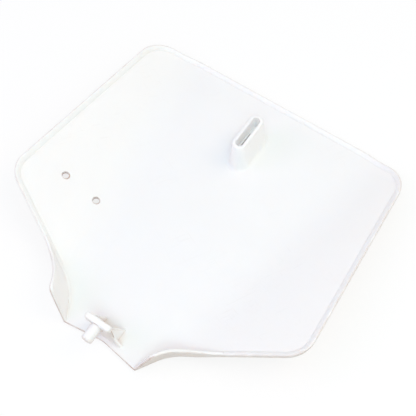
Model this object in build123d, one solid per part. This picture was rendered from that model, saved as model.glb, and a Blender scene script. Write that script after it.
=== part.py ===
"""Front number board of a motocross bike, one moulded plastic piece.

The board lies on its front face with its back up. X runs across it, Y up it and Z out of its back.
Outline points are first written with Y = 0 at the corners of the lower tab, and the finished solid is then
moved so that the origin is under the middle of its box.
"""
from build123d import *
import os
from math import cos, radians, sin, tan

# Board: sharp corners of the outline seen square on, from the tab's corners up
BOARD_HEIGHT = 232.0
TOP_CORNER_X = 113.7
TOP_CORNER_DROP = 8.0
TOP_SLOPE_RUN = 36.0
SIDE_CORNER_X = 123.4
SIDE_CORNER_Y = 62.5
KNEE_X = 44.6
KNEE_Y = 22.3
TAB_HALF = 30.5
TAB_NOTCH = 4.2

# Rounding of those corners
TOP_BEND_RADIUS = 60.0
TOP_CORNER_RADIUS = 24.0
SIDE_CORNER_RADIUS = 19.0
KNEE_RADIUS = 40.0
TAB_CORNER_RADIUS = 1.5
NOTCH_RADIUS = 25.0

# Wall, and the two wings bent back from creases that run down the board
WALL = 2.4
WING_ANGLE = 25.7
CREASE_TOP_X = 87.0
CREASE_TAB_X = 43.0
BEND_RADIUS = 65.0

# Rounded front edge, and the bead along the edge of the back with its sloped inner side
FRONT_ROUND = 0.8
RIM_WIDTH = 1.8
RIM_SLOPE = 1.9
RIM_HEIGHT = 2.0
RIM_ROUND = 0.7
RIM_END_Y = 9.0

# Flanges that rise along the two hollow sides towards the tab
FLANGE_WALL = 2.4
FLANGE_CREST = 33.0
FLANGE_LEAN = 11.0
FLANGE_END_RUN = 13.5
FLANGE_MERGE_RUN = 36.0
FLANGE_CREST_FALL = 0.3
FLANGE_TIP_ROUND = 4.0
FLANGE_EASE = 0.5

# Oblong socket near the top: a pocket with a slit through its floor
SOCKET_DROP = 48.0
SOCKET_Y = BOARD_HEIGHT - SOCKET_DROP
SOCKET_HEIGHT = 27.7
SOCKET_LENGTH = 33.0
SOCKET_WIDTH = 10.6
SOCKET_DRAFT = 4.5
POCKET_LENGTH = 27.6
POCKET_WIDTH = 5.7
POCKET_DEPTH = 12.0
SLIT_LENGTH = 13.5
SLIT_WIDTH = 3.7
SOCKET_ROOT_RADIUS = 2.5
SOCKET_LIP_CHAMFER = 0.5

# Hook at the tab: a flared post with a cross head and a round peg
POST_WALL = 2.6
POST_BACK_Y = 9.5
POST_HALF = 8.6
POST_FOOT_HALF = 15.0
POST_FLARE_HEIGHT = 15.0
HEAD_HALF = 10.0
HEAD_DEPTH = 4.7
HEAD_HEIGHT = 6.4
HOOK_HEIGHT = 34.0
PEG_RADIUS = 4.0
PEG_SHOULDER = 1.0
PEG_REACH = 16.0
PEG_DROP = 5.6
PEG_END_CHAMFER = 0.8
HEAD_ROUND = 1.6
RIB_ROUND = 0.6
GUSSET_WALL = 2.4
GUSSET_X = 7.9
GUSSET_RUN = 10.0
GUSSET_HEIGHT = 28.0

# Pair of holes in the wing on the -X side
HOLE_RADIUS = 2.5
HOLE_Y = 85.0
HOLE_OUTER_X = -94.0
HOLE_SPACING = 26.0

# Working block around the board
SIDE_REACH = 40.0
BLOCK_TOP = 70.0
UNDERCUT = 1.0
COS_STEEP = 0.35
ON_FACE = 0.01


def outline(inset=0.0):
    """Face of the board's plan, pulled in by an inset."""
    right = [
        (TOP_CORNER_X - TOP_SLOPE_RUN, BOARD_HEIGHT, TOP_BEND_RADIUS),
        (TOP_CORNER_X, BOARD_HEIGHT - TOP_CORNER_DROP, TOP_CORNER_RADIUS),
        (SIDE_CORNER_X, SIDE_CORNER_Y, SIDE_CORNER_RADIUS),
        (KNEE_X, KNEE_Y, KNEE_RADIUS),
        (TAB_HALF, 0.0, TAB_CORNER_RADIUS),
    ]
    left = [(-x, y, radius) for x, y, radius in reversed(right)]
    corners = right + [(0.0, TAB_NOTCH, NOTCH_RADIUS)] + left
    face = make_face(Polyline(*[(x, y) for x, y, _ in corners], close=True))
    for x, y, radius in corners:
        corner = face.vertices().sort_by_distance((x, y, 0.0))[0]
        face = fillet(corner, radius)
    if inset:
        face = offset(face, -inset, kind=Kind.ARC)
    return face


def column(face):
    """The plan face drawn up through the whole working block."""
    return extrude(Pos(0, 0, -UNDERCUT) * face, BLOCK_TOP)


def wing_plane(side, raised):
    """Plane of one wing's face; side is 1 or -1, and raised is how far it lies behind the front face."""
    run = Vector(side * (CREASE_TOP_X - CREASE_TAB_X), BOARD_HEIGHT, 0).normalized()
    outward = Vector(side * run.Y, -side * run.X, 0)
    normal = Vector(0, 0, cos(radians(WING_ANGLE))) - outward * sin(radians(WING_ANGLE))
    return Plane(origin=Vector(side * CREASE_TAB_X, 0, 0) + normal * raised, z_dir=normal)


def space_behind(raised):
    """Everything behind the board's bent face, where the face is raised from the front by a distance."""
    reach = SIDE_REACH + raised
    block = Pos(0, BOARD_HEIGHT / 2, raised) * Box(
        2 * (SIDE_CORNER_X + reach),
        BOARD_HEIGHT + 2 * reach,
        BLOCK_TOP,
        align=(Align.CENTER, Align.CENTER, Align.MIN),
    )
    for side in (1, -1):
        block = split(block, bisect_by=wing_plane(side, raised), keep=Keep.TOP)
    floor = block.faces().sort_by(Axis.Z)[0]
    creases = [edge for edge in floor.edges() if abs(edge.center().X) > CREASE_TAB_X / 2]
    return fillet(creases, BEND_RADIUS - raised)


def rim_edges(shape, way):
    """Edges around the faces of a shape that look up, or down where way is -1."""
    chosen = [face for face in shape.faces() if way * face.normal_at().Z > COS_STEEP]
    edges = [edge for face in chosen for edge in face.edges()]
    inner = [edge for edge in edges if sum(edge.is_same(other) for other in edges) > 1]
    return [edge for edge in edges if not any(edge.is_same(other) for other in inner)]


def panel():
    """Bent wall of the board with the bead along its edge."""
    behind_front = space_behind(0.0)
    wall = column(outline()) & (behind_front - space_behind(WALL))
    wall = fillet(rim_edges(wall, -1), FRONT_ROUND)
    ring = column(outline()) - column(outline(RIM_WIDTH + RIM_SLOPE))
    lower_end = Box(2 * SIDE_CORNER_X, 2 * RIM_END_Y, 2 * BLOCK_TOP)
    bead = (ring - lower_end) & (space_behind(WALL / 2) - space_behind(WALL + RIM_HEIGHT))
    outer, _ = bead_edges(bead)
    bead = fillet(outer, RIM_ROUND)
    _, inner = bead_edges(bead)
    return wall + chamfer(inner, RIM_SLOPE)


def bead_edges(bead):
    """Top edges of the bead, those along the outline and those along its inner side, without its ends."""
    middle = outline(RIM_WIDTH)
    merge = flange_line()[2]
    outer, inner = [], []
    for edge in rim_edges(bead, 1):
        spot = edge.center()
        if middle.is_inside(Vector(spot.X, spot.Y, 0)):
            if spot.Y > RIM_END_Y + RIM_SLOPE:
                inner.append(edge)
        elif spot.Y > merge.Y:
            outer.append(edge)
    return outer, inner


def flange_line():
    """Plan of the hollow side at +X: the tab's corner, the knee, and the flange's end at the bead."""
    tab = Vector(TAB_HALF, 0)
    knee = Vector(KNEE_X, KNEE_Y)
    upper_run = (Vector(SIDE_CORNER_X, SIDE_CORNER_Y) - knee).normalized()
    return tab, knee, knee + upper_run * FLANGE_MERGE_RUN


def strip(shift, level):
    """Plan of one flange's wall at a level, moved outwards by a shift that dies out at the bead."""
    tab, knee, merge = flange_line()
    lower_run = (knee - tab).normalized()
    upper_run = (merge - knee).normalized()
    lower_out = Vector(lower_run.Y, -lower_run.X)
    upper_out = Vector(upper_run.Y, -upper_run.X)
    bisector = (lower_out + upper_out) * (1 / (1 + lower_out.dot(upper_out)))
    sides = []
    for thickness in (0.0, FLANGE_WALL):
        sides.append([
            tab + lower_out * (shift - thickness),
            knee + bisector * (shift - thickness),
            merge - upper_out * thickness,
        ])
    outer, inner = sides
    face = make_face(Polyline(*outer, *reversed(inner), close=True))
    for corner, radius in ((outer[1], KNEE_RADIUS - shift), (inner[1], KNEE_RADIUS - shift + FLANGE_WALL)):
        face = fillet(face.vertices().sort_by_distance(corner)[0], radius)
    return Pos(0, 0, level) * face


def flange():
    """Leaning wall along the hollow side at +X, cut to a crest near the tab that falls away to the bead."""
    base = WALL / 2
    top = FLANGE_CREST + UNDERCUT
    top_shift = (top - base) * tan(radians(FLANGE_LEAN))
    wall = loft([strip(0.0, base), strip(top_shift, top)], ruled=True)
    tab, _, merge = flange_line()
    run = (merge - tab).length
    along = (merge - tab).normalized()
    outward = Vector(along.Y, -along.X)
    side_view = Plane(origin=tab - outward * SIDE_REACH, x_dir=along, z_dir=outward)
    foot = Vector(0, WALL)
    crest = Vector(FLANGE_END_RUN, FLANGE_CREST)
    rising = (crest - foot).normalized()
    falling = Vector(1, -FLANGE_CREST_FALL).normalized()
    tip = crest - rising * FLANGE_TIP_ROUND
    crown = crest + falling * FLANGE_TIP_ROUND
    run_out = Vector(run, WALL + RIM_HEIGHT + wing_rise(merge.X, merge.Y))
    profile = [
        Polyline((run, 0), (0, 0), foot, tip),
        Spline(tip, crown, tangents=[rising, falling]),
        Spline(crown, run_out, tangents=[falling, (1, 0)]),
        Line(run_out, (run, 0)),
    ]
    kept = extrude(side_view * make_face(profile), 2 * SIDE_REACH)
    cut = wall & kept & space_behind(base)
    raised = [edge for edge in rim_edges(cut, 1) if edge.center().Z > 2 * WALL]
    along_crest = [edge for edge in raised if edge.geom_type != GeomType.LINE]
    return chamfer(along_crest, FLANGE_EASE)


def wing_rise(x, y):
    """Height of a wing's front face over the flat of the board, away from the bend."""
    run = Vector(CREASE_TOP_X - CREASE_TAB_X, BOARD_HEIGHT).normalized()
    beyond = (x - CREASE_TAB_X) * run.Y - y * run.X
    return beyond * tan(radians(WING_ANGLE))


def socket():
    """Drafted oblong tower that the upper bracket slides into."""
    top = Pos(0, SOCKET_Y, WALL + SOCKET_HEIGHT) * SlotOverall(SOCKET_LENGTH, SOCKET_WIDTH, rotation=90)
    tower = extrude(top, -SOCKET_HEIGHT - WALL / 2, taper=-SOCKET_DRAFT)
    return chamfer(tower.faces().sort_by(Axis.Z)[-1].edges(), SOCKET_LIP_CHAMFER)


def socket_hollow():
    """Pocket in the top of the socket and the slit through its floor and the board's front."""
    mouth = Pos(0, SOCKET_Y, WALL + SOCKET_HEIGHT)
    pocket = extrude(mouth * SlotOverall(POCKET_LENGTH, POCKET_WIDTH, rotation=90), -POCKET_DEPTH)
    slit_depth = SOCKET_HEIGHT + WALL + UNDERCUT
    slit = extrude(mouth * SlotOverall(SLIT_LENGTH, SLIT_WIDTH, rotation=90), -slit_depth)
    return pocket + slit


def post():
    """Flared wall of the hook across the tab."""
    neck = WALL + POST_FLARE_HEIGHT
    top = WALL + HOOK_HEIGHT - HEAD_HEIGHT / 2
    right = [
        TangentArc((POST_HALF, neck), (POST_FOOT_HALF, WALL / 2), tangent=(0, -1)),
        Line((POST_HALF, neck), (POST_HALF, top)),
    ]
    left = [mirror(edge, Plane.YZ) for edge in right]
    closing = [
        Line((-POST_HALF, top), (POST_HALF, top)),
        Line((-POST_FOOT_HALF, WALL / 2), (POST_FOOT_HALF, WALL / 2)),
    ]
    across = Plane(origin=(0, POST_BACK_Y, 0), x_dir=(1, 0, 0), z_dir=(0, -1, 0))
    wall = extrude(across * make_face(right + left + closing), POST_WALL)
    side_edges = [edge for edge in wall.edges() if abs(edge.center().X) > POST_HALF / 2]
    upright = [edge for edge in side_edges if edge.length > POST_WALL + ON_FACE]
    return fillet(upright, RIB_ROUND)


def gusset(x):
    """Sloping rib that props the post from behind."""
    inside = POST_BACK_Y - POST_WALL / 2
    foot = WALL / 2
    crown = WALL + GUSSET_HEIGHT
    corners = [(inside, foot), (POST_BACK_Y + GUSSET_RUN, foot), (POST_BACK_Y, crown), (inside, crown)]
    along = Plane(origin=(x, 0, 0), x_dir=(0, 1, 0), z_dir=(1, 0, 0))
    rib = extrude(along * make_face(Polyline(*corners, close=True)), GUSSET_WALL / 2, both=True)
    return fillet(rib.edges().sort_by(SortBy.LENGTH)[-2:], RIB_ROUND)


def head():
    """Cross head on the post."""
    bar = Pos(0, POST_BACK_Y - HEAD_DEPTH / 2, WALL + HOOK_HEIGHT - HEAD_HEIGHT / 2) * Box(
        2 * HEAD_HALF, HEAD_DEPTH, HEAD_HEIGHT
    )
    return fillet(bar.edges(), HEAD_ROUND)


def peg():
    """Round peg that points down past the tab, with a shoulder flush with the head's front."""
    axis = Plane(origin=(0, POST_BACK_Y - HEAD_DEPTH / 2, WALL + HOOK_HEIGHT - PEG_DROP), z_dir=(0, -1, 0))
    pin = extrude(axis * Circle(PEG_RADIUS), PEG_REACH - HEAD_DEPTH / 2)
    pin = chamfer(pin.edges().sort_by(Axis.Y)[0], PEG_END_CHAMFER)
    shoulder = extrude(axis * Circle(PEG_RADIUS + PEG_SHOULDER), HEAD_DEPTH / 2)
    return pin + shoulder


def hook():
    """Post, ribs, head and peg in one."""
    return post() + gusset(GUSSET_X) + gusset(-GUSSET_X) + head() + peg()


def wing_holes():
    """The pair of holes in the -X wing."""
    drill = Cylinder(HOLE_RADIUS, 2 * BLOCK_TOP)
    return [Pos(HOLE_OUTER_X + step * HOLE_SPACING, HOLE_Y, 0) * drill for step in (0, 1)]


def socket_root(shape):
    """Edges where the socket stands on the flat of the board's back."""
    return [
        edge
        for edge in shape.edges().filter_by_position(Axis.Z, WALL - ON_FACE, WALL + ON_FACE)
        if abs(edge.center().X) < SOCKET_WIDTH and abs(edge.center().Y - SOCKET_Y) < SOCKET_LENGTH
    ]


board = panel() + socket()
board = fillet(socket_root(board), SOCKET_ROOT_RADIUS)
right_flange = flange()
board = board + right_flange + mirror(right_flange, Plane.YZ) + hook()
board = board - socket_hollow() - wing_holes()
box = board.bounding_box()
board = Pos(-box.center().X, -box.center().Y, -box.min.Z) * board
os.makedirs("parts", exist_ok=True)
export_step(board, "parts/number_board.step")
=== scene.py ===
"""Looks of a white moulded front number board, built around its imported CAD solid.

The board lies on its front with its back up. X runs across it, Y up it and Z out of its back, in metres.
"""

import logging
from dataclasses import dataclass, field
from math import cos, radians, sin
from typing import Any

import bpy
from mathutils import Matrix, Vector

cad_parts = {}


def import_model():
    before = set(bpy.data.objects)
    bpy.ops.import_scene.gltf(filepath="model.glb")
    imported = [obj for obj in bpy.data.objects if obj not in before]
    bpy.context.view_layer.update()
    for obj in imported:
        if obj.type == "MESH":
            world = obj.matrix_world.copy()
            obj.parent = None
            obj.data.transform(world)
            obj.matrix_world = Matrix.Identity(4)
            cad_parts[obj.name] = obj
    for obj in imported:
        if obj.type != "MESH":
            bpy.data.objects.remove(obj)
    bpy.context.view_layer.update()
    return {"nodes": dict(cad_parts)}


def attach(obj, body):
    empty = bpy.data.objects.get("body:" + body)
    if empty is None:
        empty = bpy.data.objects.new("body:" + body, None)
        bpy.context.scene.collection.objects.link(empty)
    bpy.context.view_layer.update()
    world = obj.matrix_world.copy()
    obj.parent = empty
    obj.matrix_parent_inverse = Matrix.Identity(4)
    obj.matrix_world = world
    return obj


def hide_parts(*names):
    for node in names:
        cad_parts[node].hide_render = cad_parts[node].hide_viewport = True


log = logging.getLogger("number_board")

MM = 0.001

Colour = tuple[float, float, float]
Span = tuple[float, float]


def opaque(colour: Colour) -> tuple[float, float, float, float]:
    """Colour with full opacity, as node sockets take it."""
    return (*colour, 1.0)


class NodeTree:
    """Short way to add and join the nodes of one material or world."""

    def __init__(self, owner: bpy.types.ID) -> None:
        """Start an empty tree.

        Args:
            owner: Material or world that the tree belongs to.
        """
        owner.use_nodes = True
        self.tree = owner.node_tree
        self.tree.nodes.clear()

    def add(self, kind: str, settings: dict[str, Any] | None = None, **sockets: Any) -> bpy.types.Node:
        """Add a node and set it up.

        Args:
            kind: Blender's name of the node's type.
            settings: Properties of the node itself.
            **sockets: Input values by socket name, with _ for a space.

        Returns:
            The new node.
        """
        node = self.tree.nodes.new(kind)
        for name, value in (settings or {}).items():
            setattr(node, name, value)
        for name, value in sockets.items():
            node.inputs[name.replace("_", " ")].default_value = value
        return node

    def join(self, source: bpy.types.NodeSocket, target: bpy.types.NodeSocket) -> None:
        """Link an output to an input."""
        self.tree.links.new(source, target)

    def noise(
        self, place: bpy.types.NodeSocket, scale: float, detail: float, fineness: float = 0.5
    ) -> bpy.types.NodeSocket:
        """Add a cloudy pattern.

        Args:
            place: Coordinates that the pattern follows.
            scale: Number of clouds to a metre.
            detail: Number of finer layers.
            fineness: Strength of the finer layers.

        Returns:
            Strength of the pattern, near 0.5 on average.
        """
        node = self.add("ShaderNodeTexNoise", Scale=scale, Detail=detail, Roughness=fineness)
        self.join(place, node.inputs["Vector"])
        return node.outputs["Fac"]

    def ramp(
        self, source: bpy.types.NodeSocket, span: Span, low: float = 0.0, high: float = 1.0
    ) -> bpy.types.NodeSocket:
        """Map a value to a range, held at both ends.

        Args:
            source: Value to map.
            span: Values that give low and high.
            low: First end of the result.
            high: Last end of the result.

        Returns:
            The mapped value.
        """
        start, stop = span
        node = self.add("ShaderNodeMapRange", From_Min=start, From_Max=stop, To_Min=low, To_Max=high)
        self.join(source, node.inputs["Value"])
        return node.outputs["Result"]

    def combine(
        self, operation: str, first: bpy.types.NodeSocket, second: bpy.types.NodeSocket
    ) -> bpy.types.NodeSocket:
        """Join two values by a sum, product or the like.

        Args:
            operation: Blender's name of the operation.
            first: First value.
            second: Second value.

        Returns:
            The result.
        """
        node = self.add("ShaderNodeMath", {"operation": operation})
        self.join(first, node.inputs[0])
        self.join(second, node.inputs[1])
        return node.outputs[0]

    def blend(
        self,
        share: bpy.types.NodeSocket,
        under: bpy.types.NodeSocket | Colour,
        over: Colour,
        most: float = 1.0,
    ) -> bpy.types.NodeSocket:
        """Lay one colour over another.

        Args:
            share: How much of the upper colour shows.
            under: Lower colour, plain or from a node.
            over: Upper colour.
            most: Largest share of the upper colour.

        Returns:
            The mixed colour.
        """
        node = self.add("ShaderNodeMixRGB", Color2=opaque(over))
        self.join(self.ramp(share, (0.0, 1.0), 0.0, most), node.inputs["Fac"])
        if isinstance(under, bpy.types.NodeSocket):
            self.join(under, node.inputs["Color1"])
        else:
            node.inputs["Color1"].default_value = opaque(under)
        return node.outputs["Color"]

    def seen_rays(self) -> bpy.types.NodeSocket:
        """Sum of the rays that show a backdrop: straight to the camera, mirrored or let through.

        Returns:
            Output that is 1 for those rays and 0 for the rest.
        """
        path = self.add("ShaderNodeLightPath").outputs
        mirrored = self.combine("ADD", path["Is Camera Ray"], path["Is Glossy Ray"])
        return self.combine("ADD", mirrored, path["Is Transmission Ray"])


@dataclass(frozen=True)
class MouldedPlastic:
    """Satin white polypropylene with a fine mould grain and faint flow clouds.

    It is worn: hair-line scuffs and traces of soil along the edges. Its corners get a little painted
    shade, tinted brown.
    """

    name: str = "white_moulded_plastic"
    pale: Colour = (0.925, 0.924, 0.922)
    cloud: Colour = (0.915, 0.913, 0.910)
    cloud_scale: float = 14.0
    cloud_detail: float = 3.0
    cloud_span: Span = (0.35, 0.65)
    soak: float = 0.65
    soak_depth: float = 2.5 * MM
    soak_tint: Colour = (1.0, 0.92, 0.86)
    smooth: float = 0.38
    rough: float = 0.50
    rough_scale: float = 60.0
    rough_detail: float = 4.0
    rough_fineness: float = 0.6
    rough_span: Span = (0.3, 0.7)
    grain_scale: float = 2600.0
    grain_detail: float = 2.0
    grain_depth: float = 0.02 * MM
    edge_ease: float = 0.5 * MM
    edge_samples: int = 6
    ior: float = 1.49
    scuff_tone: Colour = (0.80, 0.785, 0.775)
    scuff_share: float = 0.35
    scuff_stretch: tuple[float, float, float] = (45.0, 1900.0, 300.0)
    scuff_turns: tuple[float, float] = (radians(24.0), radians(-58.0))
    scuff_detail: float = 1.0
    scuff_span: Span = (0.66, 0.74)
    scuff_patch_scale: float = 22.0
    scuff_patch_detail: float = 2.0
    scuff_patch_span: Span = (0.50, 0.66)
    wear_samples: int = 16
    soil_tone: Colour = (0.36, 0.17, 0.095)
    soil_share: float = 0.85
    soil_width: float = 1.4 * MM
    soil_edge_span: Span = (0.85, 0.50)
    soil_scale: float = 90.0
    soil_detail: float = 3.0
    soil_patch_span: Span = (0.25, 0.60)
    # Painted shade: a brown darkening laid into the colour in the corners.
    painted_shade_tone: Colour = (0.62, 0.44, 0.34)
    painted_shade_share: float = 0.3
    painted_shade_width: float = 12.0 * MM
    painted_shade_corner_span: Span = (0.80, 0.35)
    # Middle of the board, where neither soil nor painted shade is laid on.
    clean_unshaded_middle: tuple[float, float, float] = (0.0, 40.0 * MM, 10.0 * MM)
    clean_unshaded_reach: float = 45.0 * MM
    soil_and_shade_reach: float = 75.0 * MM

    def material(self) -> bpy.types.Material:
        """Build the finish.

        Returns:
            The material.
        """
        made = bpy.data.materials.new(self.name)
        tree = NodeTree(made)
        place = tree.add("ShaderNodeTexCoord").outputs["Object"]
        scuffs = self._scuffs(tree, place)
        shader = tree.add(
            "ShaderNodeBsdfPrincipled",
            IOR=self.ior,
            Subsurface_Weight=self.soak,
            Subsurface_Scale=self.soak_depth,
            Subsurface_Radius=self.soak_tint,
        )
        tree.join(self._colour(tree, place, scuffs), shader.inputs["Base Color"])
        tree.join(self._roughness(tree, place, scuffs), shader.inputs["Roughness"])
        tree.join(self._relief(tree, place), shader.inputs["Normal"])
        out = tree.add("ShaderNodeOutputMaterial")
        tree.join(shader.outputs["BSDF"], out.inputs["Surface"])
        return made

    def _scuffs(self, tree: NodeTree, place: bpy.types.NodeSocket) -> bpy.types.NodeSocket:
        """Fine scratches in two directions, gathered in patches.

        Args:
            tree: Tree of the material.
            place: Object coordinates.

        Returns:
            Output that is 1 in a scratch and 0 elsewhere.
        """
        patches = tree.noise(place, self.scuff_patch_scale, self.scuff_patch_detail)
        worn = tree.ramp(patches, self.scuff_patch_span)
        lines = []
        for turn in self.scuff_turns:
            turned = tree.add("ShaderNodeMapping", Rotation=(0.0, 0.0, turn))
            tree.join(place, turned.inputs["Vector"])
            drawn = tree.add("ShaderNodeMapping", Scale=self.scuff_stretch)
            tree.join(turned.outputs["Vector"], drawn.inputs["Vector"])
            streaks = tree.noise(drawn.outputs["Vector"], scale=1.0, detail=self.scuff_detail)
            lines.append(tree.ramp(streaks, self.scuff_span))
        either = tree.combine("MAXIMUM", lines[0], lines[1])
        return tree.combine("MULTIPLY", either, worn)

    def _soiled_edges(self, tree: NodeTree, place: bpy.types.NodeSocket) -> bpy.types.NodeSocket:
        """Thin uneven trace of soil along the outward edges.

        Args:
            tree: Tree of the material.
            place: Object coordinates.

        Returns:
            Output that is 0 on the flats and rises along the edges.
        """
        depth = tree.add(
            "ShaderNodeAmbientOcclusion",
            {"inside": True, "samples": self.wear_samples},
            Distance=self.soil_width,
        )
        edge = tree.ramp(depth.outputs["AO"], self.soil_edge_span)
        uneven = tree.ramp(tree.noise(place, self.soil_scale, self.soil_detail), self.soil_patch_span)
        patchy = tree.combine("MULTIPLY", edge, uneven)
        return tree.combine("MULTIPLY", patchy, self._open_to_soil_and_painted_shade(tree, place))

    def _painted_corner_shade(self, tree: NodeTree, place: bpy.types.NodeSocket) -> bpy.types.NodeSocket:
        """Soft brownish painted shade where the walls of a corner stand close.

        Args:
            tree: Tree of the material.
            place: Object coordinates.

        Returns:
            Output that is 0 in the open and rises in the corners.
        """
        # Occlusion in the corners sets where shade is painted into the colour.
        room = tree.add(
            "ShaderNodeAmbientOcclusion",
            {"samples": self.wear_samples},
            Distance=self.painted_shade_width,
        )
        corner = tree.ramp(room.outputs["AO"], self.painted_shade_corner_span)
        return tree.combine("MULTIPLY", corner, self._open_to_soil_and_painted_shade(tree, place))

    def _open_to_soil_and_painted_shade(self, tree: NodeTree, place: bpy.types.NodeSocket) -> bpy.types.NodeSocket:
        """Mark all but the sheltered middle, where the board has no soil and no painted shade.

        Args:
            tree: Tree of the material.
            place: Object coordinates.

        Returns:
            Output that is 0 in the middle and 1 towards the rim.
        """
        away = tree.add("ShaderNodeVectorMath", {"operation": "DISTANCE"})
        away.inputs[1].default_value = self.clean_unshaded_middle
        tree.join(place, away.inputs[0])
        return tree.ramp(away.outputs["Value"], (self.clean_unshaded_reach, self.soil_and_shade_reach))

    def _colour(
        self, tree: NodeTree, place: bpy.types.NodeSocket, scuffs: bpy.types.NodeSocket
    ) -> bpy.types.NodeSocket:
        """Flow clouds with the scuffs, the painted shade in the corners and the soiled edges over them.

        Args:
            tree: Tree of the material.
            place: Object coordinates.
            scuffs: Where the scratches are.

        Returns:
            Colour output.
        """
        clouds = tree.noise(place, self.cloud_scale, self.cloud_detail)
        base = tree.blend(tree.ramp(clouds, self.cloud_span), self.cloud, self.pale)
        scuffed = tree.blend(scuffs, base, self.scuff_tone, self.scuff_share)
        # Painted shade: the colour is darkened towards brown in the corners.
        corner_shaded = tree.blend(self._painted_corner_shade(tree, place), scuffed, self.painted_shade_tone, self.painted_shade_share)
        return tree.blend(self._soiled_edges(tree, place), corner_shaded, self.soil_tone, self.soil_share)

    def _roughness(
        self, tree: NodeTree, place: bpy.types.NodeSocket, scuffs: bpy.types.NodeSocket
    ) -> bpy.types.NodeSocket:
        """Satin sheen that varies in small patches and dulls in the scuffs.

        Args:
            tree: Tree of the material.
            place: Object coordinates.
            scuffs: Where the scratches are.

        Returns:
            Roughness output.
        """
        patches = tree.noise(place, self.rough_scale, self.rough_detail, self.rough_fineness)
        sheen = tree.ramp(patches, self.rough_span, self.smooth, self.rough)
        dulled = tree.add("ShaderNodeMath", {"operation": "MULTIPLY_ADD", "use_clamp": True})
        dulled.inputs[1].default_value = self.rough - self.smooth
        tree.join(scuffs, dulled.inputs[0])
        tree.join(sheen, dulled.inputs[2])
        return dulled.outputs[0]

    def _relief(self, tree: NodeTree, place: bpy.types.NodeSocket) -> bpy.types.NodeSocket:
        """Mould grain over softly eased edges.

        Args:
            tree: Tree of the material.
            place: Object coordinates.

        Returns:
            Normal output.
        """
        grain = tree.noise(place, self.grain_scale, self.grain_detail)
        eased = tree.add("ShaderNodeBevel", {"samples": self.edge_samples}, Radius=self.edge_ease)
        bump = tree.add("ShaderNodeBump", Strength=1.0, Distance=self.grain_depth)
        tree.join(grain, bump.inputs["Height"])
        tree.join(eased.outputs["Normal"], bump.inputs["Normal"])
        return bump.outputs["Normal"]


@dataclass(frozen=True)
class PaleFloor:
    """Plain tan floor that shows as white and keeps a soft shadow.

    It throws warm light up at the board.
    """

    name: str = "pale_floor"
    colour: Colour = (0.54, 0.38, 0.27)
    white: Colour = (0.97, 0.97, 0.97)
    glow: Colour = (1.0, 1.0, 1.0)
    glow_share: float = 0.75

    def material(self) -> bpy.types.Material:
        """Build the finish.

        Returns:
            The material.
        """
        made = bpy.data.materials.new(self.name)
        tree = NodeTree(made)
        tan = tree.add("ShaderNodeBsdfDiffuse", Color=opaque(self.colour))
        white = tree.add("ShaderNodeBsdfDiffuse", Color=opaque(self.white))
        glow = tree.add("ShaderNodeEmission", Color=opaque(self.glow), Strength=1.0)
        shown = tree.add("ShaderNodeMixShader", Fac=self.glow_share)
        tree.join(white.outputs["BSDF"], shown.inputs[1])
        tree.join(glow.outputs["Emission"], shown.inputs[2])
        mixed = tree.add("ShaderNodeMixShader")
        tree.join(tree.seen_rays(), mixed.inputs["Fac"])
        tree.join(tan.outputs["BSDF"], mixed.inputs[1])
        tree.join(shown.outputs["Shader"], mixed.inputs[2])
        out = tree.add("ShaderNodeOutputMaterial")
        tree.join(mixed.outputs["Shader"], out.inputs["Surface"])
        return made


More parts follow.
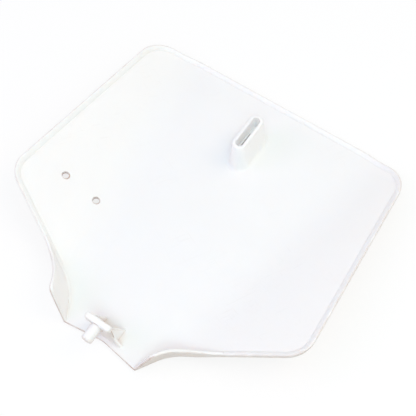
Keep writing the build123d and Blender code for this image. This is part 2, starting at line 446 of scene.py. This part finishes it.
@dataclass
class NumberBoard:
    """The moulding: a merged copy of the CAD solid with its bends shaded smooth.

    The easings at the roots of its two flanges run out flat at their lower ends.
    """

    node: bpy.types.Object
    finish: MouldedPlastic = field(default_factory=MouldedPlastic)
    name: str = "number_board_moulding"
    weld: float = 0.002 * MM
    smooth_angle: float = radians(50.0)
    root_end_y: float = -103.75 * MM
    root_end_low: Vector = field(default_factory=lambda: Vector((33.3, 0.0, 4.4)) * MM)
    root_end_high: Vector = field(default_factory=lambda: Vector((34.3, 0.0, 4.7)) * MM)
    root_end_move: Vector = field(default_factory=lambda: Vector((-0.468, 0.0, -2.036)) * MM)
    sliver: float = 0.01 * MM

    def build(self) -> bpy.types.Object:
        """Make the moulding.

        Returns:
            The finished piece.
        """
        piece = self._merged_copy()
        self._run_out_roots(piece)
        self._shade(piece)
        self._dress(piece)
        return piece

    def _merged_copy(self) -> bpy.types.Object:
        """Copy the solid's mesh and weld its loose triangles.

        Returns:
            The copy, active and selected.
        """
        bpy.ops.object.select_all(action="DESELECT")
        piece = bpy.data.objects.new(self.name, self.node.data.copy())
        bpy.context.scene.collection.objects.link(piece)
        piece.select_set(True)
        bpy.context.view_layer.objects.active = piece
        bpy.ops.object.mode_set(mode="EDIT")
        bpy.ops.mesh.select_all(action="SELECT")
        bpy.ops.mesh.customdata_custom_splitnormals_clear()
        bpy.ops.mesh.remove_doubles(threshold=self.weld)
        bpy.ops.object.mode_set(mode="OBJECT")
        return piece

    def _run_out_roots(self, piece: bpy.types.Object) -> None:
        """Let the easing at each flange's root run out into the board at its lower end.

        Args:
            piece: The merged copy, active and selected.
        """
        for side in (-1.0, 1.0):
            bpy.ops.object.mode_set(mode="EDIT")
            bpy.ops.mesh.select_mode(type="VERT")
            bpy.ops.mesh.select_all(action="DESELECT")
            bpy.ops.object.mode_set(mode="OBJECT")
            for vertex in piece.data.vertices:
                vertex.select = self._on_root_end(vertex.co, side)
            bpy.ops.object.mode_set(mode="EDIT")
            move = self.root_end_move
            bpy.ops.transform.translate(value=(side * move.x, move.y, move.z))
            bpy.ops.mesh.select_all(action="SELECT")
            bpy.ops.mesh.dissolve_degenerate(threshold=self.sliver)
            bpy.ops.object.mode_set(mode="OBJECT")

    def _on_root_end(self, spot: Vector, side: float) -> bool:
        """Tell whether a point is on the upper corner line of one root's end.

        Args:
            spot: Point of the mesh.
            side: 1 for the flange at positive X, -1 for the other.

        Returns:
            True for the points that are to be lowered.
        """
        across = side * spot.x
        on_end = abs(spot.y - self.root_end_y) < self.sliver
        in_width = self.root_end_low.x < across < self.root_end_high.x
        return on_end and in_width and self.root_end_low.z < spot.z < self.root_end_high.z

    def _shade(self, piece: bpy.types.Object) -> None:
        """Shade the bends smooth and keep the flats flat.

        Args:
            piece: The merged copy, active and selected.
        """
        bpy.ops.object.shade_smooth_by_angle(angle=self.smooth_angle)
        even = piece.modifiers.new("even_normals", "WEIGHTED_NORMAL")
        even.keep_sharp = True
        bpy.ops.object.modifier_apply(modifier=even.name)

    def _dress(self, piece: bpy.types.Object) -> None:
        """Put the plastic on the piece and tie it to the CAD frame.

        Args:
            piece: The shaped moulding.
        """
        piece.data.materials.clear()
        piece.data.materials.append(self.finish.material())
        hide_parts("number_board")
        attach(piece, "root")


@dataclass(frozen=True)
class SoftBox:
    """Square soft lamp that hangs beside the board and looks at it."""

    name: str
    place: Vector
    size: float
    power: float
    colour: Colour

    def hang(self, target: Vector) -> None:
        """Put the lamp in its place.

        Args:
            target: Point that the lamp looks at.
        """
        data = bpy.data.lights.new(self.name, "AREA")
        data.shape = "SQUARE"
        data.size = self.size
        data.energy = self.power
        data.color = self.colour
        lamp = bpy.data.objects.new(self.name, data)
        lamp.location = self.place
        lamp.rotation_euler = (target - self.place).to_track_quat("-Z", "Y").to_euler()
        bpy.context.scene.collection.objects.link(lamp)


@dataclass
class Studio:
    """Floor, soft lamps, plain surroundings and the camera."""

    floor_finish: PaleFloor = field(default_factory=PaleFloor)
    floor_size: float = 12.0
    floor_gap: float = 0.2 * MM
    lamps: tuple[SoftBox, ...] = (
        SoftBox(
            name="near_softbox",
            place=Vector((0.385, -0.520, 1.242)),
            size=0.45,
            power=5.5,
            colour=(0.80, 0.98, 1.0),
        ),
        SoftBox(
            name="right_softbox",
            place=Vector((0.645, 0.497, 1.149)),
            size=0.8,
            power=3.6,
            colour=(1.0, 0.70, 0.44),
        ),
        SoftBox(
            name="left_softbox",
            place=Vector((-0.792, -0.594, 0.990)),
            size=0.8,
            power=2.4,
            colour=(1.0, 0.54, 0.94),
        ),
    )
    around_colour: Colour = (0.90, 0.97, 1.0)
    around_strength: float = 0.70
    backdrop: Colour = (1.0, 1.0, 1.0)
    camera_place: Vector = field(default_factory=lambda: Vector((161.08, -195.08, 528.72)) * MM)
    camera_target: Vector = field(default_factory=lambda: Vector((2.71, 14.80, 2.40)) * MM)
    camera_roll: float = radians(2.796)
    lens: float = 69.2308
    sensor: float = 36.0
    bounces: int = 16

    def build(self) -> None:
        """Set up the whole studio."""
        self._floor()
        for lamp in self.lamps:
            lamp.hang(self.camera_target)
        self._surroundings()
        self._camera()
        self._view()

    def _view(self) -> None:
        """Show colours as they are, and let light bounce on between the white walls of the pocket."""
        scene = bpy.context.scene
        scene.view_settings.view_transform = "Standard"
        scene.cycles.max_bounces = self.bounces
        scene.cycles.diffuse_bounces = self.bounces

    def _floor(self) -> None:
        """Lay the floor just under the board."""
        bpy.ops.object.select_all(action="DESELECT")
        bpy.ops.mesh.primitive_plane_add(size=self.floor_size, location=(0.0, 0.0, -self.floor_gap))
        floor = bpy.context.object
        floor.name = "floor"
        floor.data.materials.append(self.floor_finish.material())

    def _surroundings(self) -> None:
        """Even light from all round, shown as white where nothing else is behind the board."""
        world = bpy.data.worlds.new("even_light")
        bpy.context.scene.world = world
        tree = NodeTree(world)
        even = tree.add(
            "ShaderNodeBackground",
            Color=opaque(self.around_colour),
            Strength=self.around_strength,
        )
        white = tree.add("ShaderNodeBackground", Color=opaque(self.backdrop), Strength=1.0)
        mixed = tree.add("ShaderNodeMixShader")
        tree.join(tree.seen_rays(), mixed.inputs["Fac"])
        tree.join(even.outputs["Background"], mixed.inputs[1])
        tree.join(white.outputs["Background"], mixed.inputs[2])
        out = tree.add("ShaderNodeOutputWorld")
        tree.join(mixed.outputs["Shader"], out.inputs["Surface"])

    def _camera(self) -> None:
        """Place the camera at the photograph's viewing angle."""
        ahead = (self.camera_target - self.camera_place).normalized()
        level_right = ahead.cross(Vector((0.0, 0.0, 1.0))).normalized()
        level_up = level_right.cross(ahead)
        up = level_up * cos(self.camera_roll) + level_right * sin(self.camera_roll)
        right = ahead.cross(up)
        turn = Matrix((right, up, -ahead)).transposed().to_4x4()
        data = bpy.data.cameras.new("photograph")
        data.lens = self.lens
        data.sensor_width = self.sensor
        camera = bpy.data.objects.new("photograph", data)
        camera.matrix_world = Matrix.Translation(self.camera_place) @ turn
        bpy.context.scene.collection.objects.link(camera)
        bpy.context.scene.camera = camera


def main() -> None:
    """Load the frame, build the moulding and the studio, and report them."""
    logging.basicConfig(level=logging.INFO, format="%(name)s: %(message)s")
    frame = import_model()
    piece = NumberBoard(frame["nodes"]["number_board"]).build()
    log.info("%s: %d faces", piece.name, len(piece.data.polygons))
    Studio().build()
    log.info("studio set")


if __name__ == "__main__":
    main()
